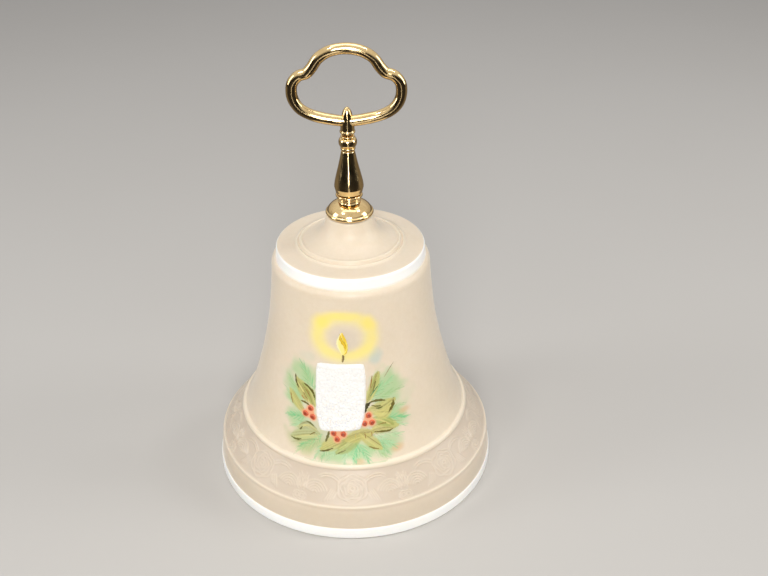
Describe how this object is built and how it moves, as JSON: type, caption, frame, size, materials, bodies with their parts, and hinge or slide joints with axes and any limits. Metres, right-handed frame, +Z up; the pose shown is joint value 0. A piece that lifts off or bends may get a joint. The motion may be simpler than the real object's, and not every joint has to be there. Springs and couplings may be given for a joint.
{
  "type": "glass hand bell",
  "caption": "Flared hand bell of frosted cream glass with a gilt stem and cloud-shaped finger loop, and a ball clapper on a chain.",
  "frame": {"origin": "centre of the rim's plane, on the surface the bell stands on", "axes": "+Z up along the bell's axis, the loop lies in the XZ plane, the decorated front faces -Y"},
  "size_m": [0.106, 0.106, 0.1652],
  "materials": {
    "cream_glass": "satin frosted, nearly opaque",
    "gilt_metal": "mirror-polished gold plate",
    "plated_steel": "zinc plated",
    "soft_washer": "soft translucent plastic",
    "gilt_wire": "bright brass wire and ball"
  },
  "bodies": {
    "root": {"glass_bell": "cream_glass", "loop_handle": "gilt_metal", "neck_bead": "gilt_metal", "handle_baluster": "gilt_metal", "ring_collar": "gilt_metal", "foot_flange": "gilt_metal", "tie_rod": "plated_steel", "crown_gasket": "soft_washer", "inner_gasket": "soft_washer", "inner_washer": "plated_steel", "lock_nut": "plated_steel", "hanger_eye": "gilt_wire"},
    "link_1": {"chain_link_1": "gilt_wire"},
    "link_2": {"chain_link_2": "gilt_wire"},
    "link_3": {"chain_link_3": "gilt_wire"},
    "link_4": {"chain_link_4": "gilt_wire"},
    "link_5": {"chain_link_5": "gilt_wire"},
    "link_6": {"chain_link_6": "gilt_wire"},
    "clapper": {"clapper_hook": "gilt_wire", "clapper_ball": "gilt_wire"}
  },
  "joints": [
    {"name": "link_1_swing", "type": "hinge", "parent": "root", "child": "link_1", "pos_m": [0, 0, 0.08], "axis": [1, 0, 0], "range_deg": [-9, 9]},
    {"name": "link_2_swing", "type": "hinge", "parent": "link_1", "child": "link_2", "pos_m": [0, 0, 0.073], "axis": [0, 1, 0], "range_deg": [-9, 9]},
    {"name": "link_3_swing", "type": "hinge", "parent": "link_2", "child": "link_3", "pos_m": [0, 0, 0.066], "axis": [1, 0, 0], "range_deg": [-9, 9]},
    {"name": "link_4_swing", "type": "hinge", "parent": "link_3", "child": "link_4", "pos_m": [0, 0, 0.059], "axis": [0, 1, 0], "range_deg": [-9, 9]},
    {"name": "link_5_swing", "type": "hinge", "parent": "link_4", "child": "link_5", "pos_m": [0, 0, 0.052], "axis": [1, 0, 0], "range_deg": [-9, 9]},
    {"name": "link_6_swing", "type": "hinge", "parent": "link_5", "child": "link_6", "pos_m": [0, 0, 0.045], "axis": [0, 1, 0], "range_deg": [-9, 9]},
    {"name": "clapper_swing", "type": "hinge", "parent": "link_6", "child": "clapper", "pos_m": [0, 0, 0.038], "axis": [1, 0, 0], "range_deg": [-9, 9]}
  ]
}
